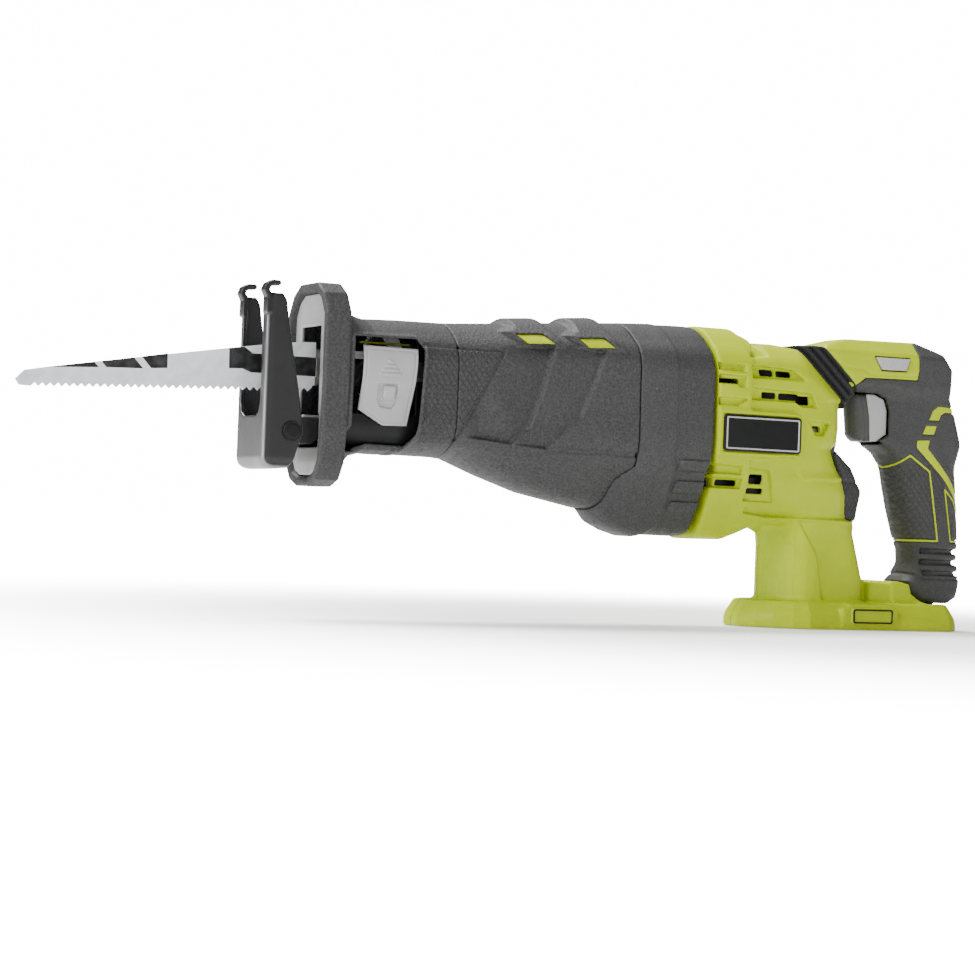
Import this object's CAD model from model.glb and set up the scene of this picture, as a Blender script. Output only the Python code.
"""Reciprocating saw: the looks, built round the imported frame.

The moulded shells are fields sampled on a grid (millimetres in the frame's axes, negative
inside) and meshed where the field crosses zero, so that creases, grooves, vents and
rounded edges are real geometry. The mechanism stays as the frame has it.
"""
import functools
import itertools
import math
import bpy
import numpy as np
from mathutils import Matrix, Vector


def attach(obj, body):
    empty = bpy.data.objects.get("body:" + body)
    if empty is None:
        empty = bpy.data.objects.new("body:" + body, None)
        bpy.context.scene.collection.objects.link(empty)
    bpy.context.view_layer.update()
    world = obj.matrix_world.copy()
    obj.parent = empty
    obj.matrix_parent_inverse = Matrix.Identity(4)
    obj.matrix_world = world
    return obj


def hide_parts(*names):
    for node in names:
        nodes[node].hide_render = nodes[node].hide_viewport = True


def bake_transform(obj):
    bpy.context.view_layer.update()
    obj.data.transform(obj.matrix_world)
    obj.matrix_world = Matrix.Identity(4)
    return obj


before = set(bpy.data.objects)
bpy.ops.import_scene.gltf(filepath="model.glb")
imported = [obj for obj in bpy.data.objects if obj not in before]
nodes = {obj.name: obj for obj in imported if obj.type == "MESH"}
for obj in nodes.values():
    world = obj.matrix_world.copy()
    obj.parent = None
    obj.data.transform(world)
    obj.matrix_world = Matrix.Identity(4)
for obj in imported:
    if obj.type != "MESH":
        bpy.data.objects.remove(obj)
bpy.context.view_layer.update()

MM = 0.001
FINE = 0.6      # grid spacing of the shells
FINER = 0.42    # grid spacing of small pieces
COARSE = 1.2                           # grid spacing of the gearcase, which is hardly seen
LINER_CELL = 0.7
BLADE_Z = 130                          # height of the blade, the plunger and the lever's axis
MOTOR_Z = 107                          # height of the motor's axis
SHAFT_Z = 86.2                         # height of the wobble shaft's axis
SHOE_PIN = (347, 95.5)                 # X and Z of the pin that the shoe turns on


# ---- fields

def smax(a, b, k):
    """Larger of two fields, with the corner between them rounded by about k."""
    h = np.maximum(k - np.abs(a - b), 0) / k
    return np.maximum(a, b) + h * h * k / 4


def smin(a, b, k):
    return -smax(-a, -b, k)


def common(*fields):
    """What lies inside all the fields."""
    return functools.reduce(np.maximum, fields)


def union(*fields):
    """What lies inside any of the fields."""
    return functools.reduce(np.minimum, fields)


def between(v, low, high):
    return np.maximum(low - v, v - high)


def step(low, high, v):
    t = np.clip((v - low) / (high - low), 0, 1)
    return t * t * (3 - 2 * t)


def segment(p, q, start, end):
    """Distance to the straight line from start to end."""
    (ax, ay), (bx, by) = start, end
    ex, ey = bx - ax, by - ay
    t = np.clip(((p - ax) * ex + (q - ay) * ey) / (ex * ex + ey * ey), 0, 1)
    return np.hypot(p - ax - ex * t, q - ay - ey * t)


def path(p, q, points):
    """Distance to an open line through points."""
    return union(*[segment(p, q, start, end) for start, end in zip(points, points[1:])])


def outline(p, q, points):
    """Signed distance to a closed outline in the plane of p and q."""
    p, q = np.broadcast_arrays(p, q)
    closed = points + points[:1]
    within = np.zeros(p.shape, bool)
    for (ax, ay), (bx, by) in zip(points, closed[1:]):
        if ay != by:
            within ^= ((ay > q) != (by > q)) & (p < (bx - ax) * (q - ay) / (by - ay) + ax)
    dist = path(p, q, closed)
    return np.where(within, -dist, dist)


def groove(dist, width, depth):
    """Depth of a rounded groove along a line that is dist away."""
    return depth * (1 - step(0.25 * width, 0.75 * width, dist))


def line(X, Z, points, width, depth):
    """Depth of a rounded groove along a line through points, as seen from the side."""
    return groove(path(X, Z, points), width, depth)


def patch(X, Z, points, soft):
    """1 inside an outline as seen from the side and 0 outside, with an edge 2 * soft wide."""
    return step(soft, -soft, outline(X, Z, points))


def facets(X, Y, Z, stations, k):
    """Body whose sections run through each station's (half-width, height) points, top first."""
    xs = [s[0] for s in stations]
    ay = np.abs(Y)
    count = len(stations[0][1])
    pts = [[np.interp(X, xs, [s[1][i][c] for s in stations]) for c in (0, 1)] for i in range(count)]
    f = Z - pts[0][1]
    for (y0, z0), (y1, z1) in zip(pts, pts[1:]):
        ey, ez = y1 - y0, z1 - z0
        f = smax(f, ((ay - y0) * -ez + (Z - z0) * ey) / np.hypot(ey, ez), k)
    return smax(f, pts[-1][1] - Z, k)


def block(X, Y, Z, low, high, k=0.5):
    f = smax(between(X, low[0], high[0]), between(Y, low[1], high[1]), k)
    return smax(f, between(Z, low[2], high[2]), k)


def tube(Y, Z, height):
    """Distance from the axis along X at that height."""
    return np.hypot(Y, Z - height)


# ---- meshing

def surface(volume, origin, cell):
    """Surface nets: points and quads where the sampled field crosses zero."""
    inside = volume < 0
    offsets = np.array(list(itertools.product((0, 1), repeat=3)))
    size = np.array(inside.shape) - 1
    corners = [inside[tuple(map(slice, offset, offset + size))] for offset in offsets]
    total = sum(c.astype(np.uint8) for c in corners)
    active = (total > 0) & (total < 8)
    number = np.full(active.shape, -1, np.int64)
    cells = np.argwhere(active)
    number[active] = np.arange(len(cells))
    values = np.stack([volume[tuple((cells + o).T)] for o in offsets], 1)
    points = np.zeros((len(cells), 3))
    hits = np.zeros(len(cells))
    for a, b in itertools.combinations(range(8), 2):
        if np.abs(offsets[a] - offsets[b]).sum() == 1:
            va, vb = values[:, a], values[:, b]
            cross = (va < 0) != (vb < 0)
            t = np.where(cross, va / np.where(cross, va - vb, 1), 0)
            where = offsets[a] + t[:, None] * (offsets[b] - offsets[a])
            points += where * cross[:, None]
            hits += cross
    points = (cells + points / hits[:, None]) * cell + origin
    quads = []
    for axis in range(3):
        u, v = (axis + 1) % 3, (axis + 2) % 3
        lo = [slice(1, -1)] * 3
        lo[axis] = slice(0, -1)
        hi = list(lo)
        hi[axis] = slice(1, None)
        first = inside[tuple(lo)]
        edge = np.argwhere(first != inside[tuple(hi)])
        out = first[tuple(edge.T)]
        base = edge + np.array([0 if c == axis else 1 for c in range(3)])
        du, dv = np.eye(3, dtype=int)[u], np.eye(3, dtype=int)[v]
        ring = [number[tuple((base - d).T)] for d in (du + dv, dv, du * 0, du)]
        quad = np.stack(ring, 1)
        quad[~out] = quad[~out][:, ::-1]
        quads.append(quad)
    return points, np.concatenate(quads)


def in_scene(name, data, material=None):
    """A new object with that mesh, lamp or camera."""
    if material:
        data.materials.append(material)
    obj = bpy.data.objects.new(name, data)
    bpy.context.scene.collection.objects.link(obj)
    return obj


def mesh_object(name, points, faces, material):
    mesh = bpy.data.meshes.new(name)
    faces = np.asarray(faces)
    mesh.vertices.add(len(points))
    mesh.vertices.foreach_set("co", (np.asarray(points) * MM).astype(np.float32).ravel())
    mesh.loops.add(faces.size)
    mesh.loops.foreach_set("vertex_index", faces.astype(np.int32).ravel())
    mesh.polygons.add(len(faces))
    mesh.polygons.foreach_set("loop_start", np.arange(0, faces.size, faces.shape[1], dtype=np.int32))
    mesh.polygons.foreach_set("use_smooth", np.full(len(faces), True))
    mesh.update(calc_edges=True)
    mesh.validate()
    return in_scene(name, mesh, material)


def moulded(name, low, high, field, material, stands_for=None, body="housing", cell=FINER, slot=None):
    """A piece meshed from a field over the box low to high, in the place of a CAD node."""
    pad = 2.5 * cell
    axes = [np.arange(low[i] - pad, high[i] + pad, cell) for i in range(3)]
    X, Y, Z = np.meshgrid(*axes, indexing="ij", sparse=True)
    volume = np.broadcast_to(field(X, Y, Z), tuple(len(a) for a in axes)).astype(np.float32)
    points, quads = surface(volume, np.array([a[0] for a in axes]), cell)
    obj = mesh_object(name, points, quads, material)
    if body:
        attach(obj, body)
    if stands_for:
        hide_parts(stands_for)
    return obj


# ---- materials

class Shader:
    """Short names for the nodes that the materials share."""

    def __init__(self, name):
        self.mat = bpy.data.materials.new(name)
        self.mat.use_nodes = True
        self.tree = self.mat.node_tree
        self.bsdf = self.tree.nodes["Principled BSDF"]
        self.place = self.node("ShaderNodeTexCoord").outputs["Object"]

    def feed(self, value, socket):
        """Puts a number, a colour, a vector or another node's output into a socket."""
        if isinstance(value, bpy.types.NodeSocket):
            self.tree.links.new(value, socket)
        elif socket.type == "RGBA":
            socket.default_value = (*value, 1)
        else:
            socket.default_value = value

    def node(self, kind, inputs=(), **values):
        n = self.tree.nodes.new(kind)
        for key, value in values.items():
            setattr(n, key, value)
        for key, value in dict(inputs).items():
            self.feed(value, n.inputs[key])
        return n

    def noise(self, scale, detail=3, rough=0.5, place=None):
        inputs = {"Scale": scale, "Detail": detail, "Roughness": rough, "Vector": place or self.place}
        return self.node("ShaderNodeTexNoise", inputs).outputs["Fac"]

    def pebbles(self, scale):
        inputs = {"Scale": scale, "Vector": self.place}
        return self.node("ShaderNodeTexVoronoi", inputs, feature="SMOOTH_F1").outputs["Distance"]

    def ramp(self, source, low, high, a, b):
        inputs = {"From Min": low, "From Max": high, "To Min": a, "To Max": b, "Value": source}
        return self.node("ShaderNodeMapRange", inputs, clamp=True).outputs["Result"]

    def mix(self, fac, a, b):
        return self.node("ShaderNodeMix", {0: fac, 6: a, 7: b}, data_type="RGBA").outputs[2]

    def math(self, op, a, b=None):
        inputs = {0: a} if b is None else {0: a, 1: b}
        return self.node("ShaderNodeMath", inputs, operation=op).outputs[0]

    def axis(self, name, source=None):
        return self.node("ShaderNodeSeparateXYZ", {0: source or self.place}).outputs[name]

    def cloudy(self, scale, spread, colour, shade):
        """Colour that drifts into shade in soft patches; a wide spread makes them softer."""
        return self.mix(self.ramp(self.noise(scale, 4), 0.5 - spread, 0.5 + spread, 0, 1), colour, shade)

    def worn(self, base, wear, scale, least, most):
        """Base with its convex edges rubbed to wear, more in some patches than in others."""
        convex = self.ramp(self.node("ShaderNodeNewGeometry").outputs["Pointiness"], 0.53, 0.62, 0, 1)
        patches = self.ramp(self.noise(scale, 3), 0.4, 0.7, least, most)
        return self.mix(self.math("MULTIPLY", convex, patches), base, wear)

    def bump(self, height, strength, distance):
        inputs = {"Strength": strength, "Distance": distance, "Height": height}
        previous = self.bsdf.inputs["Normal"].links
        if previous:
            inputs["Normal"] = previous[0].from_socket
        self.feed(self.node("ShaderNodeBump", inputs).outputs["Normal"], self.bsdf.inputs["Normal"])

    def set(self, **values):
        for key, value in values.items():
            self.feed(value, self.bsdf.inputs[key.replace("_", " ")])


def grey(value):
    return (value, value, value)


def plastic(name, colour, shade, grain=900, depth=0.00006, rough=(0.38, 0.5), wear=None):
    """Moulded plastic: faint cloudy colour, fine spark-eroded grain, paler rubbed edges."""
    s = Shader(name)
    base = s.cloudy(38, 0.15, colour, shade)
    if wear:
        base = s.worn(base, wear, 160, 0.15, 0.8)
    s.set(Base_Color=base, Roughness=s.ramp(s.noise(220, 3), 0.3, 0.7, *rough), Specular_IOR_Level=0.2)
    s.bump(s.noise(grain, 2, 0.6), 0.35, depth)
    return s.mat


def pebbled(name, colour, shade, wear, scale=900, depth=0.0003, diamonds=None):
    """Rubber overmould with a leathery pebble grain, and raised diamonds where diamonds says."""
    s = Shader(name)
    base = s.cloudy(30, 0.15, colour, shade)
    pebble = s.math("ADD", s.pebbles(scale), s.math("MULTIPLY", s.noise(scale * 0.8, 3), 0.7))
    base = s.mix(s.ramp(pebble, 0.35, 1, 0, 0.4), base, wear)
    base = s.worn(base, wear, 120, 0.1, 0.7)
    if diamonds:
        base = s.mix(s.math("MULTIPLY", diamonds(s), 0.35), base, tuple(c * 0.35 for c in colour))
    s.set(Base_Color=base, Roughness=s.ramp(s.noise(300, 3), 0.3, 0.7, 0.55, 0.72), Specular_IOR_Level=0.42)
    s.bump(pebble, 0.9, depth)
    if diamonds:
        s.bump(diamonds(s), 0.8, 0.0003)
    return s.mat


def metal(name, colour, rough, brushed, scale, wear=grey(0.8), metallic=1):
    """Metal with fine lines along one axis and smudges in its roughness."""
    s = Shader(name)
    ratio = {"X": (0.02, 1, 1), "Y": (1, 0.02, 1), "Z": (1, 1, 0.02), "": (1, 1, 1)}[brushed]
    stretch = s.node("ShaderNodeMapping", {"Scale": ratio, "Vector": s.place})
    lines = s.noise(scale, 3, place=stretch.outputs["Vector"])
    base = s.cloudy(45, 0.2, colour, tuple(c * 0.8 for c in colour))
    base = s.worn(base, wear, 180, 0.1, 0.9)
    s.set(Base_Color=base, Metallic=metallic, Roughness=s.ramp(s.noise(90, 4), 0.3, 0.7, *rough))
    s.bump(lines, 0.25, 0.00004)
    return s.mat


def shoe_paint():
    """Satin steel on the faces that look forwards or down, black on the side flanges."""
    s = Shader("shoe_steel")
    normal = s.node("ShaderNodeNewGeometry").outputs["Normal"]
    side = s.ramp(s.math("ABSOLUTE", s.axis("Y", normal)), 0.72, 0.86, 0, 1)
    side = s.math("MAXIMUM", side, s.ramp(s.axis("Z"), 0.15, 0.162, 0, 1))
    black = s.worn(grey(0.007), grey(0.14), 180, 0.1, 0.8)
    bare = s.cloudy(45, 0.2, (0.28, 0.28, 0.285), (0.22, 0.22, 0.225))
    bare = s.mix(s.ramp(s.axis("Z"), 0.085, 0.125, 0, 1), bare, (0.16, 0.16, 0.165))
    s.set(Base_Color=s.mix(side, bare, black), Metallic=s.ramp(side, 0, 1, 1, 0),
          Roughness=s.ramp(s.noise(90, 4), 0.3, 0.7, 0.28, 0.42))
    s.bump(s.noise(900, 3), 0.25, 0.00004)
    return s.mat


def diamond_grid(s, u, v, pitch):
    """1 in the grooves of a slanted grid over the plane of u and v."""
    near = []
    for sign in (1, -1):
        along = s.math("ADD", s.math("MULTIPLY", u, 0.8), s.math("MULTIPLY", v, 0.55 * sign))
        wave = s.math("PINGPONG", s.math("ADD", along, 10), pitch / 2)
        near.append(s.ramp(wave, 0, 0.28 * pitch, 1, 0))
    return s.math("MAXIMUM", near[0], near[1])


def within(s, limits):
    """Product of steps: each limit is (a, b, c) for a*x + b*z > c, in metres."""
    x, z = s.axis("X"), s.axis("Z")
    gates = []
    for a, b, c in limits:
        value = s.math("ADD", s.math("MULTIPLY", x, a), s.math("MULTIPLY", z, b))
        gates.append(s.ramp(value, c - 0.0002, c + 0.0002, 0, 1))
    return functools.reduce(lambda one, other: s.math("MULTIPLY", one, other), gates)


def nose_diamonds(s):
    """The diamond panel on the neck and the front corner of the boot."""
    gate = within(s, [(1, 0, 0.2305), (-1, 0, -0.2795), (0, -1, -0.1425), (0, 1, 0.093),
                      (0.883, 0.469, 0.2725)])
    return s.math("MULTIPLY", diamond_grid(s, s.axis("X"), s.axis("Z"), 0.0028), gate)


def grip_diamonds(s):
    """The hex-like panel on the side of the grip and on its back."""
    side = within(s, [(0, 1, 0.053), (0, -1, -0.096), (1, 0.17, -0.0535)])
    back = within(s, [(-1, 0, 0.074), (0, 1, 0.053), (0, -1, -0.118)])
    gate = s.math("MAXIMUM", side, back)
    return s.math("MULTIPLY", diamond_grid(s, s.axis("X"), s.axis("Z"), 0.0026), gate)


GREEN = (0.47, 0.58, 0.002)
GREEN_SHADE = (0.42, 0.53, 0.002)
GREEN_WORN = (0.6, 0.68, 0.08)
CHARCOAL = (0.027, 0.027, 0.028)
CHARCOAL_SHADE = (0.021, 0.021, 0.022)
CHARCOAL_WORN = grey(0.1)

green = plastic("green_plastic", GREEN, GREEN_SHADE, wear=GREEN_WORN)
deep_green = plastic("shaded_green", (0.11, 0.14, 0.002), (0.08, 0.1, 0.002), rough=(0.5, 0.6))
collar_grey = pebbled("collar_plastic", CHARCOAL, CHARCOAL_SHADE, CHARCOAL_WORN, scale=1200, depth=0.00012)
boot_rubber = pebbled("boot_rubber", CHARCOAL, CHARCOAL_SHADE, CHARCOAL_WORN, diamonds=nose_diamonds)
grip_rubber = pebbled("grip_rubber", CHARCOAL, CHARCOAL_SHADE, grey(0.08),
                      scale=1500, depth=0.00008, diamonds=grip_diamonds)
soft_rubber = plastic("bellows_rubber", (0.022, 0.022, 0.023), (0.017, 0.017, 0.018), grain=700,
                      rough=(0.5, 0.62), wear=grey(0.12))
black_plastic = plastic("black_plastic", grey(0.006), grey(0.009), rough=(0.28, 0.4),
                        wear=grey(0.06))
dark_plastic = plastic("trigger_plastic", (0.085, 0.085, 0.087), (0.07, 0.07, 0.072), rough=(0.35, 0.48),
                       wear=grey(0.15))
silver = plastic("silver_paint", (0.46, 0.46, 0.465), (0.42, 0.42, 0.425), grain=1500, depth=0.00003,
                 rough=(0.36, 0.46), wear=grey(0.6))
frame_line = plastic("pale_print", grey(0.5), grey(0.45), rough=(0.4, 0.5))
cast = metal("cast_aluminium", (0.52, 0.52, 0.53), (0.42, 0.6), "", 500, grey(0.75))
face_steel = metal("face_steel", grey(0.62), (0.42, 0.55), "Z", 700, grey(0.8), 0.7)
satin_steel = metal("satin_steel", (0.6, 0.6, 0.61), (0.3, 0.42), "Z", 700)
bright_steel = metal("ground_steel", (0.62, 0.62, 0.64), (0.16, 0.3), "X", 900)
black_steel = metal("black_oxide", (0.02, 0.02, 0.021), (0.34, 0.5), "Z", 700, grey(0.14), 0.4)
bronze = metal("sintered_bronze", (0.5, 0.34, 0.15), (0.35, 0.5), "", 900, (0.7, 0.5, 0.25))
copper = metal("copper", (0.62, 0.3, 0.14), (0.2, 0.34), "X", 900, (0.8, 0.5, 0.3))
steel_core = metal("laminations", (0.2, 0.19, 0.185), (0.4, 0.55), "Y", 1500, (0.4, 0.38, 0.36))
blade_paint = plastic("blade_paint", (0.9, 0.92, 0.94), (0.85, 0.87, 0.9), grain=1600, depth=0.00002,
                      rough=(0.32, 0.44), wear=(0.55, 0.56, 0.58))
red_wire = plastic("red_wire", (0.42, 0.02, 0.02), (0.36, 0.02, 0.02), rough=(0.35, 0.45))
shoe_steel = shoe_paint()

CARRIED = {
    cast: ["motor_bracket"],
    satin_steel: ["motor_can"],
    bright_steel: ["armature_shaft", "pinion", "drive_gear", "wobble_shaft", "wobble_ring", "plunger_rod",
                   "blade_pin", "handle_pin", "motor_rear_bearing", "motor_front_bearing",
                   "wobble_rear_bearing", "wobble_front_bearing"],
    black_steel: ["bush_carrier", "clamp_body", "clamp_collar", "shoe_bracket", "case_screws", "magnets"],
    bronze: ["rear_bush", "front_bush"],
    copper: ["commutator"],
    steel_core: ["rotor_core"],
    black_plastic: ["cooling_fan", "brush_holder", "carbon_brushes", "terminal_block", "switch_body"],
    soft_rubber: ["isolator_bushes"],
    blade_paint: ["saw_blade"],
    red_wire: ["motor_leads"],
}


def dress_frame():
    """Gives the CAD nodes that stay in view their materials, and a softened edge."""
    for material, names in CARRIED.items():
        for name in names:
            obj = nodes[name]
            obj.data.materials.clear()
            obj.data.materials.append(material)
            bevel = obj.modifiers.new("edge", "BEVEL")
            bevel.width = 0.00025
            bevel.segments = 2
            bevel.limit_method = "ANGLE"
            bevel.angle_limit = math.radians(35)
            obj.modifiers.new("normals", "WEIGHTED_NORMAL").keep_sharp = True


# ---- boot, collar and nose

# Stations from the back to the front: X, then half-width and height down the side from the top
SLEEVE = [
    (150.5, [(11, 165.6), (33.6, 148.5), (34.8, 92), (13, 62.6)]),
    (169, [(11, 164.4), (33, 148.6), (34, 91.4), (12, 62.5)]),
    (205, [(11, 161.7), (31.6, 147.6), (32.2, 92.6), (12, 69.4)]),
    (230, [(11, 159.8), (30.6, 145.6), (31, 94), (12, 77.4)]),
    (251, [(11, 158.3), (29.8, 143.8), (30.2, 96.5), (13, 85.4)]),
    (258, [(11, 158), (29.4, 143.5), (29.6, 97), (14, 86.2)]),
]
COLLAR = [
    (102.4, [(13, 167.1), (35.2, 148.3), (36, 90), (15, 48.3)]),
    (112, [(13, 167.2), (35.8, 148.3), (36.6, 90), (15, 47.4)]),
    (129, [(12, 166.8), (36.3, 148.3), (37, 90), (15, 47.6)]),
    (140, [(11, 166.3), (35.4, 148.3), (36.6, 90), (15, 48.2)]),
    (150, [(11, 165.8), (34, 148.3), (34.6, 90), (14, 50.8)]),
    (160, [(11, 164), (30, 140), (31.4, 88), (11, 54.6)]),
    (168.4, [(11, 150), (22, 120), (24, 82), (7, 62.4)]),
]
WINDOWS = [213, 177]        # X of the middle of each window in the boot
BOOT_WALL = 3
DEEPEST_FOLD = 4
COLLAR_WALL = 3.8
NECK_WALL = 1.9


def window_frame(x):
    return [(x + 17.5, 154.6), (x + 10, 158.5), (x + 7, 175), (x - 9, 175), (x - 12, 157.5),
            (x - 18, 147.6), (x + 2, 147.4)]


def window_pane(x):
    return [(x + 10, 153.3), (x - 5.5, 154.3), (x - 11.2, 149), (x + 4.2, 148.3)]


def boot_field(X, Y, Z):
    f = facets(X, Y, Z, SLEEVE, 7)
    f = smax(f, between(X, 150.7, 258.15), 0.8)
    # two folds overlap like shingles, each one sunk in front of its slanted edge and fading forwards
    first = [(201, 149), (208, 124), (215.5, 102.5), (225.3, 94.4), (247, 96.4)]
    second = [(170.5, 148), (177, 130), (185.4, 110.2), (204.5, 92.9)]
    inside = outline(X, Z, first + [(262, 96.6), (262, 143.5)])
    push = 3.4 * step(0.3, -1.3, inside) * (1 - step(4, 30, path(X, Z, first))) * step(254, 242, X)
    inside = outline(X, Z, second + [(225.3, 94.2), (215.5, 102.5), (208, 124), (201, 149)])
    push = push + 2.6 * step(0.3, -1.3, inside) * (1 - step(3, 26, path(X, Z, second)))
    # fold above the lower facet, and the border of the diamond panel
    push = push + line(X, Z, [(204.5, 92.9), (150, 92.1)], 2.6, 0.7)
    push = push + line(X, Z, [(266, 143.3), (231.5, 143.3), (257.5, 95.5)], 1.5, 0.9)
    for x in WINDOWS:
        push = push - 2.8 * step(0.8, -2.4, outline(X, Z, window_frame(x)))
        push = push + 2 * patch(X, Z, window_pane(x), 0.35)
    push = np.minimum(push, DEEPEST_FOLD)
    return common(f + push, -(f + BOOT_WALL + 0.6 * np.maximum(push, 0)))


def pane_field(X, Y, Z):
    f = facets(X, Y, Z, SLEEVE, 7)
    shape = union(*[outline(X, Z, window_pane(x)) for x in WINDOWS])
    return common(smax(between(f, -1, 1.7), shape + 0.12, 0.6), 0.3 - np.abs(Y))


def collar_field(X, Y, Z):
    f = facets(X, Y, Z, COLLAR, 8)
    f = smax(f, between(X, 102.6, 168), 3)
    sleeve = facets(X, Y, Z, SLEEVE, 7)
    # the rear band sits lower than the cup that wraps the front of the collar
    cup_edge = np.interp(Z, [46, 52, 60, 74, 90], [140, 131, 127, 127.6, 127])
    push = 1.7 * step(0.8, -2.2, X - cup_edge) * step(93, 84, Z)
    for z, half in ((88, 3), (76.2, 3.4), (65.6, 2.6)):
        bar = common(np.abs(Z - z) - half, 105.6 - X, X - 124.6 + 0.25 * (Z - z))
        push = push - 1.5 * step(0.4, -0.4, bar)
    push = push + 0.5 * step(0.4, -1, X - 128.5) * step(84, 93, Z)
    shell = common(f + push, -smax(f + COLLAR_WALL, X - 152, 1))
    clear = union(0.35 - sleeve, X - 150.1)
    return smax(shell, clear, 0.8)


NECK = [
    (258.2, [(11, 158), (29.4, 143.4), (29.4, 97), (14, 86.2)]),
    (284, [(11, 157.7), (28.8, 143.6), (28.8, 97), (14, 86.5)]),
    (304, [(10, 157.1), (28.2, 143.6), (28, 97), (14, 87)]),
    (312, [(9, 159.5), (26.2, 147), (26, 94), (13, 83.5)]),
    (319.5, [(9, 167.5), (24.6, 155), (24.6, 88), (14, 74)]),
]
FLANGE_HALF = [(11, 173.5), (20, 168), (26, 158), (26.4, 122), (25.5, 97), (23, 80), (17, 71.5), (8, 68)]
FLANGE = FLANGE_HALF + [(-y, z) for y, z in reversed(FLANGE_HALF)]
LEVER_WINDOW = [(316, 146.2), (281, 146.6), (277.4, 141.4), (280, 97), (285.4, 87.2), (326, 86.6),
                (316.4, 100)]
LEVER_R = 26.1                  # outer radius of the lever's plate about the blade's axis


def neck_field(X, Y, Z):
    f = facets(X, Y, Z, NECK, 7)
    f = smax(f, between(X, 258.3, 319.2), 0.8)
    push = line(X, Z, [(278.6, 143.6), (258, 143.4)], 1.4, 0.5)
    push = push + line(X, Z, [(277.8, 144), (279, 116), (283.4, 96), (291, 86)], 1.5, 0.6)
    push = push - 0.8 * step(1.6, -0.4, np.abs(outline(X, Z, LEVER_WINDOW)) - 1.2) * (Y > 0)
    inner = facets(X, Y, Z, NECK, 7) + NECK_WALL
    # room for the lever's plate where it swings up behind the window's upper edge
    room = common(tube(Y, Z, BLADE_Z) - LEVER_R - 0.5, np.abs(X - 296) - 18, 14 - Y)
    window = smax(outline(X, Z, LEVER_WINDOW), 16 - Y, 1.5)
    return smax(common(f + push, -inner, -room), -window, 1.2)


def flange_field(X, Y, Z):
    shape = outline(Y, Z, FLANGE)
    f = smax(shape, between(X, 318.7, 333), 1.6)
    opening = shape + 5.6 - 0.5 * np.maximum(X - 330, 0)
    return smax(f, -opening, 1.2)


def face_field(X, Y, Z):
    """Steel face inside the flange, dished at its foot, with its opening for the blade and the bracket."""
    shape = outline(Y, Z, FLANGE) + 5.75
    f = smax(shape, common(328.4 - X, X - 330.4 - 0.8 * step(90, 80, Z)), 0.6)
    blade_slot = common(np.abs(Y) - 12.8, np.abs(Z - 126) - 25)
    bracket_slot = common(np.abs(Y) - 14, np.abs(Z - 96.7) - 8.3)
    return smax(f, -union(blade_slot, bracket_slot), 0.8)


def screen_field(X, Y, Z):
    """Dark dust screens that stand behind the vents."""
    spans = [((29, 122.6), (80, 146)), ((82.5, 131), (101, 146)), ((58, 72), (101, 84))]
    shape = union(*[block(X, 0 * Y, Z, (x0, -1, z0), (x1, 1, z1)) for (x0, z0), (x1, z1) in spans])
    return common(shape, np.abs(np.abs(Y) - 20.2) - 0.6)


def case_field(X, Y, Z):
    """Gearcase inside the boot: a shell with end walls, seats and bores for the shafts."""
    f = facets(X, Y, Z, SLEEVE, 7) + 5.7
    f = smax(f, between(X, 151.2, 257), 1)
    shell = common(f, -common(f + 2.8, between(X, 156, 254)))
    rod = tube(Y, Z, BLADE_Z)
    shaft = tube(Y, Z, SHAFT_Z)
    boss = smin(common(rod - 15, X - 161.6), common(shaft - 13, X - 159), 2)
    rest = common(block(X, Y, Z, (200.2, -12.1, 60), (206.3, 12.1, 97.3)), f + 1)
    solid = union(shell, common(boss, 152 - X), rest)
    rod_bores = union(rod - 8.7, common(rod - 12.1, between(X, 153.5, 170)))
    shaft_bores = union(common(shaft - 5, X - 170), common(shaft - 10.1, X - 157.1),
                        common(shaft - 8.1, np.abs(X - 204) - 5))
    return common(solid, -rod_bores, -shaft_bores)


def liner_field(X, Y, Z):
    """Smooth dark sleeve that shows behind and below the lever."""
    f = smax(np.abs(Y) - 18.8, np.abs(Z - 121.3) - 32.6, 14)
    f = common(f, -(f + 1.3), between(X, 260, 317.5))
    travel = block(X, np.abs(Y), Z, (278, 6, 107), (319, 26, 156), 1)
    return common(smax(f, -travel, 0.4), 19.4 - tube(Y, Z, BLADE_Z))


# ---- motor housing, stem and foot

RING = [
    (56, [(13, 167.3), (34.6, 148.3), (35.6, 92), (17, 48.6)]),
    (102, [(13, 167.3), (35.6, 148.3), (36.6, 92), (17, 48)]),
]
RING_SIDE = [(102.1, 180), (76, 180), (76, 168), (70.5, 161), (70.5, 157), (78.5, 146), (79.6, 122), (80, 99),
             (76.5, 86), (74, 72), (57, 62), (79.5, 49.6), (86, 40), (102.1, 40)]
BARREL = [
    (-4, [(9, 170), (21.5, 140), (22.5, 92), (17, 58)]),
    (8, [(10, 172), (26, 146), (27, 92), (19, 58)]),
    (40, [(11, 164), (31, 147), (32, 92), (22, 58)]),
    (80, [(12, 161), (32.6, 147), (33.6, 92), (22, 57)]),
]
BARREL_SIDE = [(84, 161.5), (52, 160.6), (38.5, 158), (25.5, 145.6), (7, 129.2), (-1.5, 125.9), (-3, 122),
               (-3.2, 110), (2.4, 103.2), (-12, 84), (-14.5, 79), (-12.4, 64), (-10, 52), (60, 52), (84, 56)]
STEM_SIDE = [(76, 70), (60.6, 60.4), (52.4, 49.6), (52.4, 9), (-26, 9), (-24, 27.6), (-17, 56.6), (-13, 66),
             (-6, 84), (60, 84)]
STEM_FACET = [(60, 60.6), (38, 60.6), (26, 41), (22, 16), (-30, 16), (-30, 60.6)]
STEP_SIDE = [(-12, 10), (-14, 27.9), (-36, 27.9), (-43.6, 26.4), (-44.6, 21.2), (-53, 15), (-55, 9)]
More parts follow.
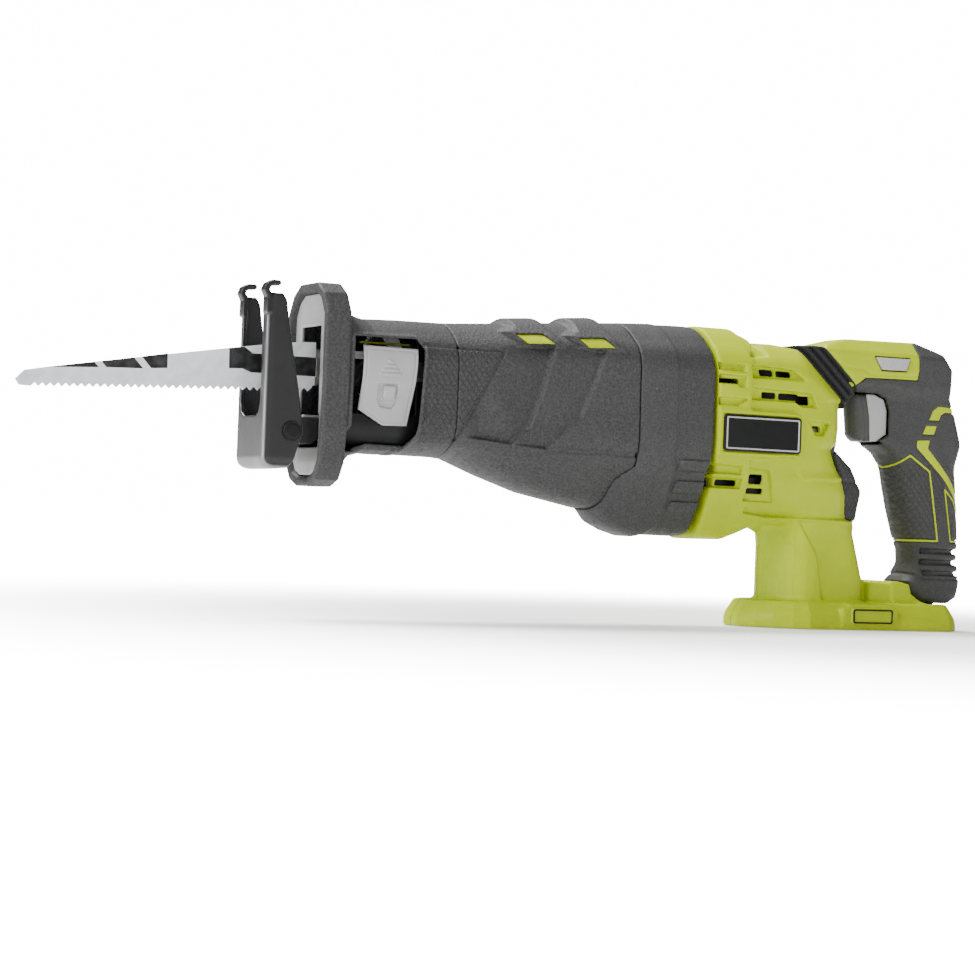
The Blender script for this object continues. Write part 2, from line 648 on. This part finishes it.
FOOT_HALF = [(-71, 26), (-67, 32), (-61, 35.6), (36, 35.6), (45, 31.4), (54, 24.4), (61, 16.4), (66.4, 7)]
FOOT_PLAN = FOOT_HALF + [(x, -y) for x, y in reversed(FOOT_HALF)]
LABEL_PAD = [(15, 1.5), (-24, 1.5), (-24, 12), (-19, 15), (10, 15), (15, 12)]
BADGE_PAD = [(101.5, 120.5), (50, 120), (45, 116), (45, 98), (49, 94.5), (101.5, 94.5)]
BADGE = (47.8, 98.2, 97.2, 117.6)       # lowest and highest X, lowest and highest Z
FOOT_LABEL = (-19.5, 9, 3.2, 12.6)


HOUSING_WALL = 4.8
# Sunk places round the vents: depth and outline in X and Z
CHANNELS = [
    (2.4, [(79.5, 146), (50, 144.6), (41.5, 139), (79.5, 139)]),
    (2.4, [(79.5, 133.2), (37.5, 132), (33, 124.4), (44, 124.4), (48.5, 126.6), (79.5, 126.6)]),
    (2, [(101, 145.8), (84, 145.2), (84, 141.4), (101, 141.8)]),
    (2.2, [(101, 139.4), (84, 138.8), (84, 133), (88, 133), (90, 134.4), (101, 134.4)]),
    (1.8, [(101, 126.6), (82, 126.6), (88, 122.4), (101, 122.4)]),
    (2, [(102, 89.8), (83, 89), (83, 84.6), (102, 84.8)]),
    (2.2, [(102, 82.6), (82, 82.2), (82, 77), (102, 77)]),
    (2.4, [(78, 88.5), (63, 87.6), (57, 70.5), (78, 70.5)]),
    (1.8, [(39, 117), (23, 116), (27, 109), (34, 109)]),
    (1.2, [(79.5, 168), (64, 168), (64, 151.5), (79.5, 149.5)]),
]
# Facet below the badge that leans inwards, and the band in front of it
UNDERCUT = [(50, 96), (41, 83.5), (12, 84.4), (-10, 84.4), (-10, 62), (60, 62), (76, 64), (60, 96)]
BELLOWS_SEAT = [(-8, 127.4), (8.6, 130.2), (27.6, 146.8), (39, 157.9), (53, 161), (53, 175), (-8, 175)]
GRIP_FOOT = [(-95, 15.1), (-53.6, 15.1), (-45, 21.4), (-44, 26.9), (-36, 28.2), (-36, 60), (-95, 60)]
SCREWS = [(92, 152), (92, 61), (62, 148), (62, 67), (30, 137.5), (7, 77)]
# Vents: lowest X, highest X, lowest Z, highest Z
VENTS = [
    (62.2, 71.5, 140.2, 143.8), (50, 60.2, 140.2, 143.6), (60.5, 70, 127.8, 131.2), (45, 58.5, 127.6, 131.2),
    (37.5, 46.5, 125.6, 130.4), (87.5, 99.5, 134.6, 137.2), (83.4, 97.5, 78.2, 81.4), (64, 75, 74.6, 77.6),
    (65.5, 74.5, 80, 85.2), (28.5, 35, 110.8, 114.2),
]


def slot_cut(X, Z, x0, x1, z0, z1):
    """Slot with rounded corners."""
    return smax(between(X, x0, x1), between(Z, z0, z1), 1)


def grown(spot, by):
    """The outline of a rectangular spot (lowest and highest X, lowest and highest Z), grown by by."""
    x0, x1, z0, z1 = spot
    return [(x0 - by, z0 - by), (x1 + by, z0 - by), (x1 + by, z1 + by), (x0 - by, z1 + by)]


# Heights and the X of the housing's rear edge at each
REAR_EDGE = ([9, 27, 37, 48.6, 59.9, 62, 65.5, 75.7, 84.7, 93.7, 101.5, 105, 114.3, 124.5, 128, 136],
             [-25, -24.2, -21.5, -18.2, -14.9, -12.4, -10.4, -9.1, -5.4, -0.8, 2.3, -1.7, -2.6, -2.2, -2.4,
              -14])


def nose_width(d):
    """Half-width of the rounded plan at distance d from its edge as seen from the side."""
    return np.interp(d, [3, 5, 6.5, 9, 14, 20, 28, 40], [0.5, 5.5, 8.4, 12.5, 19.5, 25.5, 31, 42])


def housing_outer(X, Y, Z):
    ay = np.abs(Y)
    rear = (ay - nose_width(X - np.interp(Z, *REAR_EDGE))) / 1.7
    ring = smax(facets(X, Y, Z, RING, 8), outline(X, Z, RING_SIDE), 2.5)
    barrel = smax(facets(X, Y, Z, BARREL, 7), outline(X, Z, BARREL_SIDE), 5)
    # narrows towards the seat of the bellows
    below_seat = (X - 9) * 0.667 - (Z - 130) * 0.745
    barrel = smax(barrel, (ay - 19.8 - 1.15 * below_seat) / 1.52, 2)
    barrel = smax(barrel, rear, 3)
    body = smin(ring, barrel, 1.5)
    pad = smax(outline(X, Z, BADGE_PAD), ay - 36.5, 2)
    body = smin(body, pad, 2)
    # the stem flares outwards into the barrel
    stem_w = np.interp(Z, [8, 16, 27, 50, 62, 84], [27.5, 25.6, 25, 25, 26.4, 29])
    stem = smax(outline(X, Z, STEM_SIDE), ay - stem_w, 7)
    front = (ay - nose_width(np.interp(Z, [46, 60, 72], [52.4, 54, 72]) - X)) / 1.7
    stem = smax(stem, smax(rear, front, 2), 3)
    body = smin(body, stem, 6)
    rise = smax(outline(X, Z, STEP_SIDE), ay - 21 + 0.12 * (Z - 14), 3)
    plan = outline(X, Y, FOOT_PLAN)
    chamfer = (plan + 0.62 * (Z - 6.2)) / 1.18
    foot = smax(smax(plan, chamfer, 2), between(Z, 0, 15.3), 1.2)
    label = smax(outline(X, Z, LABEL_PAD), ay - 36, 2.2)
    foot = smin(foot, label, 1.5)
    foot = smin(foot, rise, 3)
    return smin(body, foot, 3.5)


def housing_field(side):
    """One half of the clamshell, its cavity and its vents; side is 1 on the left."""
    def field(X, Y, Z):
        ay = np.abs(Y)
        outer = housing_outer(X, Y, Z)
        push = 0
        # shallow channels that hold the vents
        for depth, shape in CHANNELS:
            push = push + 1.3 * depth * patch(X, Z, shape, 0.45)
        # facets below the badge and down the stem
        under = patch(X, Z, UNDERCUT, 0.9)
        push = push + under * (0.9 + 2 * np.clip((84 - Z) / 22, 0, 1))
        push = push + line(X, Z, [(2, 62.3), (38, 61)], 2.2, 0.45)
        push = push + 1.1 * patch(X, Z, STEM_FACET, 0.8) * (Z > 15.4)
        push = push + groove(np.abs(X - 102.2), 1.6, 0.5)
        push = np.minimum(push, HOUSING_WALL - 1.4)
        outer = outer + push
        cavity = smax(outer + HOUSING_WALL - push, 11 - Z, 1)
        # a rib in the middle keeps daylight from showing through both sides' vents
        motor = tube(Y, Z, MOTOR_Z)
        cavity = common(cavity, -common(ay - 1.2, 27.5 - motor))
        can = common(motor - 24.4, between(X, 19, 103))
        cavity = union(cavity, common(can, outer + 1.2))
        # the battery's socket has a liner of its own
        socket = block(X, Y, Z, (-12.5, -16.5, -5), (44.5, 16.5, 62))
        socket = smax(socket, (ay + 4.2 - nose_width(union(X + 15, 52.4 - X))) / 1.7, 1)
        cavity = common(cavity, -block(X, Y, Z, (-15, -19, -5), (47, 19, 64)))
        recess = smax(outline(X, Y, FOOT_PLAN) + 6, Z - 9, 0.8)
        vents = common(union(*[slot_cut(X, Z, *spot) for spot in VENTS]), 20 - ay)
        badge_seat = smax(outline(X, Z, grown(BADGE, 0.3)), 35.4 - ay, 0.4)
        thumb_seat = smax(outline(X, Z, THUMB_SIDE) - 0.3, ay - 14.3 - 0.25 * (X + 4), 5)
        bellows_seat = outline(X, Z, BELLOWS_SEAT) + 0.3
        grip_seat = common(outline(X, Z, GRIP_FOOT), ay - 18.6)
        cuts = union(cavity, socket, recess, vents, badge_seat, thumb_seat, bellows_seat, grip_seat)
        f = smax(outer, -cuts, 0.7)
        if side < 0:
            for x, z in SCREWS:
                f = smax(f, -common(np.hypot(X - x, Z - z) - 3.8, Y + 17.8), 0.8)
        return smax(f, 0.12 - Y * side, 0.5)
    return field


# ---- handle

HANDLE_SIDE = [
    (20.5, 158.2), (17.4, 162.3), (2, 166.4), (-48, 167.4), (-65, 161), (-72, 152.5), (-71.6, 142),
    (-71, 135.5), (-75.5, 124), (-80.5, 108), (-84.5, 76.8), (-86.2, 53), (-85.8, 41), (-86.4, 31),
    (-80.5, 18.8), (-75, 15.6), (-54, 15.6), (-48, 21.5), (-46.6, 26.6), (-45.6, 28), (-48, 31.6),
    (-50.6, 39), (-50, 46), (-46.4, 54.6), (-42.6, 66), (-38, 80.7), (-35, 92), (-31, 101),
    (-22, 107.4), (-10, 108.4), (-9.4, 111), (-9, 128), (-7.4, 133.4), (-3.5, 135.7), (2.8, 136), (3.6, 142.3)
]
BAR_SIDE = [(30, 190), (-40, 190), (-45.4, 167.5), (-45.8, 150.4), (-44.8, 145), (-8.4, 144.4), (4.4, 135.2),
            (30, 135)]


def handle_outer(X, Y, Z):
    ay = np.abs(Y)
    # narrower towards the trigger and along the front of the grip
    width = np.interp(X, [-88, -60, -45, -28, -8, 20], [16.4, 17, 16.6, 12.4, 12, 12])
    high = step(132, 142, Z)
    width = width * (1 - high) + np.interp(X, [-80, -60, 20], [16.5, 18, 18]) * high
    side = outline(X, Z, HANDLE_SIDE)
    f = smax(side, ay - width, 5)
    rounded = smax(side, ay - width, 6 + 13 * step(18, 42, Z))
    low = step(112, 92, Z)
    f = f * (1 - low) + rounded * low
    # slanted upper faces of the top bar
    return smax(f, ((ay - 10) * 9.5 + (Z - 167.4) * 8.5) / 12.75, 1.5)


# Green lines of the grip, each with half its width, and the filled stripes
GRIP_LINES = [
    ([(-20, 92.6), (-27, 90.8), (-32.5, 92.3), (-37.5, 96), (-43.2, 101.2), (-56.6, 92.3), (-64, 52.1),
      (-30, 51.7)], 0.75),
    ([(-89, 56), (-76, 76), (-68.2, 82.4), (-74, 52.2), (-92, 52.2)], 0.7),
]
GRIP_STRIPES = [
    [(-54.7, 122.2), (-57.4, 128.2), (-61, 130.8), (-74, 130.4), (-84, 129.5), (-84, 126.8), (-66.2, 127.2),
     (-63.4, 125.6), (-62, 122.4)],
    [(-50.4, 113.8), (-53, 119.2), (-60.6, 119.4), (-58.8, 114)],
    [(-47, 110.4), (-56.2, 110.8), (-55, 105.9), (-72, 89), (-83, 77.5), (-93, 64), (-93, 60), (-84, 70),
     (-67, 88.2), (-46.8, 106)],
]


def grip_inlay(X, Z):
    """Distance to the green lines and stripes, negative inside them."""
    lines = [path(X, Z, points) - half for points, half in GRIP_LINES]
    return union(*lines, *[outline(X, Z, points) for points in GRIP_STRIPES])


TRIGGER_ROOM = [(-29.6, 112.4), (-29.6, 126.6), (-27, 133.4), (-20, 136), (-6, 136.2), (10, 136.4),
                (10, 106), (-4, 107.4), (-22, 108)]
LOCK_SIDE = [(-39, 157), (-36.4, 149.8), (-19.4, 149.4), (-14.4, 156.8)]
RUBBER = 3.2                    # thickness of the grip's rubber


def handle_rooms(X, Y, Z):
    """Hollows for the trigger, the switch and the pin in the foot."""
    ay = np.abs(Y)
    deep = block(X, ay, Z, (-38, -30, 107.2), (12, 10.7, 137.2), 1)
    open_side = smax(outline(X, Z, TRIGGER_ROOM), 9 - ay, 0.5)
    switch = block(X, ay, Z, (-62, -30, 103), (-36, 9.8, 135), 0.5)
    lug = block(X, ay, Z, (-73, -30, 5), (-51, 6.6, 25.5), 0.5)
    return union(deep, open_side, switch, lug)


def grip_field(X, Y, Z):
    f = handle_outer(X, Y, Z)
    push = 0
    for z in (47.6, 41.2, 34.8):
        band = common(np.abs(Z - z + 1.6), (X + 57) * 0.8)
        push = push + 2 * step(1.9, 0.9, band)
    push = push + line(X, Z, [(-90, 30.4), (-56, 30.4), (-47, 33)], 1.6, 0.7)
    inlay = grip_inlay(X, Z)
    push = push + groove(np.abs(inlay), 0.9, 0.35)
    push = push + 0.7 * step(0.2, -0.2, inlay)
    bar = outline(X, Z, BAR_SIDE) - 0.2
    core = smax(f + RUBBER, 17 - Z, 1)
    f = smax(f + push, -bar, 0.6)
    f = common(f, -common(core, 14 - Z))
    f = smax(f, -handle_rooms(X, Y, Z), 0.8)
    return smax(f, -smax(outline(X, Z, LOCK_SIDE) - 0.4, -5, 0.3), 0.4)


def inlay_field(X, Y, Z):
    f = handle_outer(X, Y, Z)
    f = smax(between(f, -1.3, -0.25), grip_inlay(X, Z) + 0.1, 0.4)
    return common(f, -handle_rooms(X, Y, Z))


def bar_field(side):
    """Green top bar and the core inside the rubber, one half of each; side is 1 on the left."""
    def field(X, Y, Z):
        f = handle_outer(X, Y, Z)
        bar = outline(X, Z, BAR_SIDE)
        push = line(X, Z, [(20, 157), (8.7, 149.4), (-6.4, 149.4), (-12, 146.4), (-44, 147.2)], 1.8, 0.35)
        hollow = block(X, np.abs(Y), Z, (-44, -30, 148), (8, 13.2, 160.5), 2)
        core = smax(f + RUBBER + 0.2, between(Z, 17.6, 160), 1)
        core = common(core, -common(f + 6, between(Z, 30, 140)), X + 40)
        body = union(common(smax(f + push, bar, 0.8), -hollow), core)
        body = smax(body, -handle_rooms(X, Y, Z), 0.5)
        body = smax(body, -smax(outline(X, Z, LOCK_SIDE) - 0.5, -5, 0.3), 0.5)
        return smax(body, 0.1 - Y * side, 0.4)
    return field


# ---- small pieces

BELLOWS_FOOT = (9.3, 130.3)     # where the bellows leaves the motor housing, in X and Z
BELLOWS_TURN = math.radians(41.8)
BELLOWS_LENGTH = 14.6


def bellows_field(X, Y, Z):
    dx, dz = X - BELLOWS_FOOT[0], Z - BELLOWS_FOOT[1]
    turn_cos, turn_sin = math.cos(BELLOWS_TURN), math.sin(BELLOWS_TURN)
    u = dx * turn_cos + dz * turn_sin
    v = dz * turn_cos - dx * turn_sin
    ribs = 3.2 * np.abs(np.cos(np.pi * (v - 0.2) / 4.9)) ** 0.6
    ring = smax(between(u, -7.5, 41), np.abs(Y) - 19.4 + 0.08 * v, 9)
    f = common(ring + 3.2 - ribs, -(ring + 5))
    f = smax(f, between(v, 0.3, BELLOWS_LENGTH), 0.8)
    return smax(f, Z - 160.4, 1.5)


SHOE_FRONT = 363
SHOE_HALF = 19.5                # half the width of the shoe
SHOE_SIDE = [
    (SHOE_FRONT, 160), (SHOE_FRONT, 165.4), (354.5, 165.4), (352.3, 162), (350, 146.8), (347, 131.7),
    (344, 116.6), (341.6, 101.4), (340.8, 94.5), (343, 88.5), (345.4, 80.7), (348, 76.6), (357, 75.6),
    (361, 76.4), (366, 80), (366, 160),
]
SHOE_SLOT = [(0, 103), (8, 103), (11.6, 105), (13.4, 110), (13.4, 200), (0, 200)]
SHOE_HORN = [(362, 156), (361.8, 163.5), (363.6, 166.8), (362.6, 169.2), (360, 170.6), (357.2, 170.6)]


def shoe_field(X, Y, Z):
    ay = np.abs(Y)
    outer = smax(smax(ay - SHOE_HALF, X - SHOE_FRONT, 5), 75.4 - Z, 7)
    inner = smax(smax(ay - SHOE_HALF + 2, X - SHOE_FRONT + 2, 3.4), 77.4 - Z, 5)
    sheet = smax(common(outer, -inner), outline(X, Z, SHOE_SIDE), 0.5)
    sheet = smax(sheet, -common(outline(ay, Z, SHOE_SLOT), 359 - X), 0.6)
    horn = smax(path(X, Z, SHOE_HORN) - 1.4, np.abs(ay - 16.5) - 3, 0.6)
    return common(smin(sheet, horn, 0.6), 3.2 - np.hypot(X - SHOE_PIN[0], Z - SHOE_PIN[1]))


def pin_field(X, Y, Z):
    r = np.hypot(X - SHOE_PIN[0], Z - SHOE_PIN[1])
    ay = np.abs(Y)
    head = smax(r - 5.2, between(ay, 19.7, 21.1), 0.6)
    head = head + groove(np.abs(r - 4.2), 0.9, 0.3) * (ay > 20.4)
    return union(head, common(r - 3, ay - 20))


LEVER_SIDE = [(310.4, 141.9), (279.2, 141.6), (283.2, 101.2), (297.2, 100.9), (312, 108.6)]
LEVER_RECESS = [(302, 122.6), (291, 122.4), (291.4, 112), (293.6, 109.4), (300, 110.6), (302, 114)]
# Height and half-length of the raised bars that say which way to push
LEVER_BARS = [(134, 1.3), (131.8, 3), (129.6, 4.6), (127.4, 6.2)]


def lever_field(X, Y, Z):
    r = tube(Y, Z, BLADE_Z)
    # the plate is round above the axis, upright beside it and slanted inwards below
    lower = (Y - LEVER_R + (124 - Z) * 0.218) * 0.977
    skin = np.where(Z > BLADE_Z, r - LEVER_R, np.where(Z > 124, Y - LEVER_R, lower))
    plate = smax(skin, -(skin + 1.9), 0.5)
    side = outline(X, Z, LEVER_SIDE)
    plate = common(smax(plate, side, 0.8), 15 - Y)
    plate = plate + 1.1 * patch(X, Z, LEVER_RECESS, 0.3) * (skin > -1.3)
    nub = block(X, 0 * Y, Z, (292.4, -1, 114.6), (299, 1, 121.4), 1.2)
    nub = smax(nub, skin - 0.9 + 0.12 * np.abs(Z - 118), 0.8)
    plate = smin(plate, common(nub, -(skin + 1.2)), 0.4)
    # thin border, and the bars
    plate = plate + groove(np.abs(side + 1.7), 0.9, 0.3) * (skin > -0.9)
    bars = union(*[common(np.abs(X - 296) - half - 0.5 * (z - Z), np.abs(Z - z) - 0.6)
                   for z, half in LEVER_BARS])
    plate = plate - 0.6 * step(0.2, -0.2, bars) * (skin > -0.9)
    web = block(X, Y, Z, (287, 20.5, 124), (293, 25.4, 132.6))
    ring = smax(np.abs(r - 20.35) - 1.05, between(X, 286, 294), 0.4)
    finger = union(block(X, Y, Z, (293, 12.9, 135), (318, 15.5, 139), 0.6),
                   block(X, Y, Z, (292.5, 12.9, 135), (294.5, 20, 139), 0.4))
    return union(plate, web, ring, common(finger, 13 - r))


def stop_field(X, Y, Z):
    return block(X, Y, Z, (282, 17.4, 143), (311, 19.2, 144.2), 0.5)


def tongue_field(X, Y, Z):
    return block(X, Y, Z, (300, -7.3, 102.9), (336.4, 7.3, 104.8), 0.6)


CHEEK = [(-29.3, 112.6), (-22, 108.3), (-17.8, 108.2), (-17, 122), (-14.2, 135.6), (-20, 135.7),
         (-26.8, 133.1), (-29.3, 126.6)]


def trigger_field(X, Y, Z):
    ay = np.abs(Y)
    front = np.interp(Z, [107, 112, 121, 135], [-12.6, -8.8, -7.8, -6.2]) - Y * Y / 14
    f = smax((X - front) * 0.85, -28.2 - X, 1.5)
    f = smax(f, between(Z, 108.2, 135.6), 3)
    f = smax(f, ay - 9.3, 4)
    return f + groove(np.abs(X + 13.6 - 0.15 * (Z - 122)), 1.2, 0.35)


def trim_field(X, Y, Z):
    """The pale cheeks on both sides of the trigger."""
    return smax(outline(X, Z, CHEEK), between(np.abs(Y), 9, 10.2), 0.9)


THUMB_SIDE = [(12, 99), (9.4, 102), (-4.4, 92.4), (-13.2, 79.6), (-13.2, 77), (-11.2, 70), (-9.4, 61.8),
              (3, 61.8), (5, 82)]


def thumb_field(X, Y, Z):
    f = smax(outline(X, Z, THUMB_SIDE), np.abs(Y) - 14 - 0.25 * (X + 4), 5)
    return f + line(X, Z, [(-12, 84), (12, 84)], 1.6, 0.4)


def rounded_box(spot, corner, X, Z):
    """Signed distance to a rectangle with rounded corners."""
    x0, x1, z0, z1 = spot
    dx = np.abs(X - (x0 + x1) / 2) - (x1 - x0) / 2 + corner
    dz = np.abs(Z - (z0 + z1) / 2) - (z1 - z0) / 2 + corner
    return np.hypot(np.maximum(dx, 0), np.maximum(dz, 0)) + np.minimum(np.maximum(dx, dz), 0) - corner


def plate_field(spot, low, high, corner):
    def field(X, Y, Z):
        return smax(rounded_box(spot, corner, X, Z), between(np.abs(Y), low, high), 0.5)
    return field


def frame_field(spot, low, high, corner, inset, width):
    def field(X, Y, Z):
        border = np.abs(rounded_box(spot, corner, X, Z) + inset) - width / 2
        return common(border, between(np.abs(Y), low, high))
    return field


def lock_field(X, Y, Z):
    hatch = 0.3 * np.maximum(np.cos((X + 1.2 * Z) * 2.2), -0.2)
    return smax(outline(X, Z, LOCK_SIDE) + 0.15, common(Y - 18.9 + hatch, -16 - Y), 0.7)


def prism(name, points, y0, y1):
    """Flat shape in X and Z printed on the blade, standing between y0 and y1."""
    n = len(points)
    verts = [(x * MM, y * MM, z * MM) for y in (y0, y1) for x, z in points]
    faces = [list(range(n)), list(range(2 * n - 1, n - 1, -1))]
    faces += [[i, i + n, (i + 1) % n + n, (i + 1) % n] for i in range(n)]
    mesh = bpy.data.meshes.new(name)
    mesh.from_pydata(verts, [], faces)
    mesh.update()
    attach(in_scene(name, mesh, black_plastic), "plunger")


BLADE_PRINT = [
    [(471.6, 121.3), (447.2, 125.3), (444.6, 122.8)],
    [(443.3, 125.9), (426.5, 128.9), (421.4, 123.6), (440.7, 123)],
    [(422.3, 129.6), (408.6, 132), (408.6, 124.6), (417.2, 124)],
    [(375.6, 137), (367.4, 138.1), (362.6, 135), (327.2, 135), (327.2, 125.2), (363.4, 125.2),
     (368, 126.9), (375.4, 126.6)],
]
BLADE_SKIN = 0.65               # half the thickness of the blade
PRINT_DEPTH = 0.04


def build_shells():
    moulded("boot_cover", (150, -37, 60), (259, 37, 168), boot_field, boot_rubber, "boot", cell=FINE)
    moulded("boot_windows", (163, -36, 146), (226, 36, 160), pane_field, green, "window_inserts")
    box = (102, -38, 46), (169, 38, 168)
    moulded("collar_cover", *box, collar_field, collar_grey, "front_collar", cell=FINE)
    moulded("neck_cover", (258, -31, 72), (320, 31, 168), neck_field, boot_rubber, "nose_boot", cell=FINE)
    box = (318.5, -27, 67), (333.5, 27, 174)
    moulded("nose_bumper", *box, flange_field, boot_rubber, "nose_flange", cell=FINE)
    moulded("nose_face", (328, -22, 72), (332, 22, 169), face_field, face_steel, "nose_plate")
    moulded("gearcase_shell", (151, -33, 62), (258, 33, 166), case_field, cast, "gearcase", cell=COARSE)
    moulded("nose_liner", (259, -25, 88), (319, 25, 155), liner_field, black_plastic, cell=LINER_CELL)
    moulded("lever_stop", (281, 17, 142), (312, 20, 145), stop_field, deep_green)
    moulded("bracket_tongue", (299, -8, 102), (337, 8, 106), tongue_field, face_steel)
    for name, side, low, high in (("housing_left", 1, 0, 37.2), ("housing_right", -1, -37.2, 0)):
        box = (-71, low, 0), (103, high, 168)
        moulded(name + "_shell", *box, housing_field(side), green, name, cell=FINE)
    moulded("vent_screens", (28, -22, 71), (102, 22, 147), screen_field, black_plastic)
    moulded("thumb_rest", (-15, -21, 60), (14, 21, 104), thumb_field, grip_rubber, "thumb_pad")
    box = (47, -38, 96), (99, 38, 119)
    moulded("badge_blank", *box, plate_field(BADGE, 35.6, 37.1, 2), black_plastic, "badge_plate")
    moulded("badge_frame", *box, frame_field(BADGE, 36.2, 37.6, 2, 1.7, 0.9), frame_line)
    box = (-20, -38, 3), (10, 38, 13)
    moulded("foot_label", *box, plate_field(FOOT_LABEL, 35, 37, 2.2), green, "foot_plate")
    moulded("foot_label_frame", *box, frame_field(FOOT_LABEL, 35.8, 37.5, 2.2, 1.1, 1), black_plastic)


def build_handle():
    box = (-89, -19, 14), (5, 19, 169)
    moulded("grip_cover", *box, grip_field, grip_rubber, "handle_grip", "handle", FINE)
    moulded("grip_inlays", (-89, -19, 48), (-18, 19, 133), inlay_field, green, body="handle")
    for name, side, low, high in (("handle_left", 1, 0, 19), ("handle_right", -1, -19, 0)):
        box = (-89, low, 14), (21, high, 169)
        moulded(name + "_shell", *box, bar_field(side), green, name, "handle", FINE)
    box = (-29, -10, 108), (-2, 10, 137)
    moulded("trigger_blade", *box, trigger_field, dark_plastic, "trigger", "trigger")
    box = (-30, -11, 107), (-3, 11, 137)
    moulded("trigger_cheeks", *box, trim_field, silver, "trigger_trim", "trigger")
    moulded("lock_bolt", (-40, -17, 148), (-13, 20, 158), lock_field, silver, "lock_button", "lock")
    # the bellows bends between the housing and the handle
    box = (-10, -19, 123), (48, 19, 163)
    bellows = moulded("bellows_sleeve", *box, bellows_field, soft_rubber, "bellows", body=None)
    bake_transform(bellows)


def build_nose():
    moulded("shoe_cover", (339, -20, 74), (367, 20, 173), shoe_field, shoe_steel, "shoe_plate", "shoe")
    box = (341, -22, 90), (353, 22, 101)
    moulded("shoe_pin", *box, pin_field, black_plastic, "shoe_pivot_pin", slot="dark_steel")
    moulded("lever_cover", (280, -22, 100), (319, 28, 153), lever_field, silver, "release_lever", "lever")
    for i, shape in enumerate(BLADE_PRINT):
        prism("blade_print_%d_right" % i, shape, -BLADE_SKIN - PRINT_DEPTH, -BLADE_SKIN)
        prism("blade_print_%d_left" % i, shape, BLADE_SKIN, BLADE_SKIN + PRINT_DEPTH)


# ---- stage

AMBIENT = 0.3
BACKDROP = 16
NEAR_GLOW = 0.6         # glow of the floor under the object
SWEEP = (0.14, 0.9)     # distances over which the floor turns into the white backdrop
SUNS = [                # name, the way to it, strength and softness in degrees
    ("key", (0.84, 0.2, 0.6), 2.1, 20), ("front", (0.96, 0.12, 0.1), 0.9, 20),
    ("rim", (0.15, -0.4, 0.9), 6, 25), ("fill", (0.1, 1, 0.3), 0.35, 60),
]


def build_floor():
    """Pale floor that glows towards the horizon, for the camera only."""
    s = Shader("floor")
    spot = s.node("ShaderNodeNewGeometry").outputs["Position"]
    far = s.node("ShaderNodeVectorMath", {0: spot}, operation="LENGTH").outputs["Value"]
    near, away = SWEEP
    inputs = {"From Min": near, "From Max": away, "To Min": NEAR_GLOW, "To Max": BACKDROP, "Value": far}
    sweep = s.node("ShaderNodeMapRange", inputs, interpolation_type="SMOOTHERSTEP").outputs["Result"]
    seen = s.node("ShaderNodeLightPath").outputs["Is Camera Ray"]
    s.set(Base_Color=s.mix(s.noise(4), grey(0.93), grey(0.95)), Roughness=0.7, Emission_Color=grey(1),
          Emission_Strength=s.math("MULTIPLY", sweep, seen))
    bpy.ops.mesh.primitive_plane_add(size=60, location=(0, 0, -0.0004))
    floor = bpy.context.object
    floor.name = "floor"
    floor.data.materials.append(s.mat)


def build_light():
    """A world that is white as the camera sees it and dimmer as a source of light, and the lamps."""
    world = bpy.data.worlds.new("studio")
    world.use_nodes = True
    tree = world.node_tree
    back = tree.nodes["Background"]
    back.inputs["Color"].default_value = (1, 1, 1, 1)
    amount = tree.nodes.new("ShaderNodeMapRange")
    amount.inputs["To Min"].default_value = AMBIENT
    amount.inputs["To Max"].default_value = BACKDROP
    seen = tree.nodes.new("ShaderNodeLightPath").outputs["Is Camera Ray"]
    tree.links.new(seen, amount.inputs["Value"])
    tree.links.new(amount.outputs["Result"], back.inputs["Strength"])
    bpy.context.scene.world = world
    for name, way, strength, softness in SUNS:
        light = bpy.data.lights.new(name, "SUN")
        light.energy = strength
        light.angle = math.radians(softness)
        in_scene(name, light).rotation_euler = Vector(way).to_track_quat("Z", "Y").to_euler()


CAMERA_TURNS = (153, 0.85, 2.2)         # azimuth, rise and roll in degrees
CAMERA_LENS = 93.4                      # focal length in mm on a sensor 36 mm wide
CAMERA_PLACE = (0.8428, 1.2144, 0.0514)


def build_camera():
    """Low camera off the front left corner, a little tilted, as in the reference view."""
    azimuth, rise, roll = (math.radians(turn) for turn in CAMERA_TURNS)
    back = Vector((math.sin(azimuth), -math.cos(azimuth), 0))
    right = Vector((math.cos(azimuth), math.sin(azimuth), 0))
    forward = (-back * math.cos(rise) + Vector((0, 0, 1)) * math.sin(rise)).normalized()
    up = right.cross(forward)
    turned_right = right * math.cos(roll) + up * math.sin(roll)
    turned_up = up * math.cos(roll) - right * math.sin(roll)
    data = bpy.data.cameras.new("camera")
    data.lens = CAMERA_LENS
    data.clip_start = 0.01
    camera = in_scene("camera", data)
    basis = Matrix((turned_right, turned_up, -forward)).transposed()
    camera.matrix_world = Matrix.Translation(CAMERA_PLACE) @ basis.to_4x4()
    bpy.context.scene.camera = camera


dress_frame()
build_shells()
build_handle()
build_nose()
build_floor()
build_light()
build_camera()
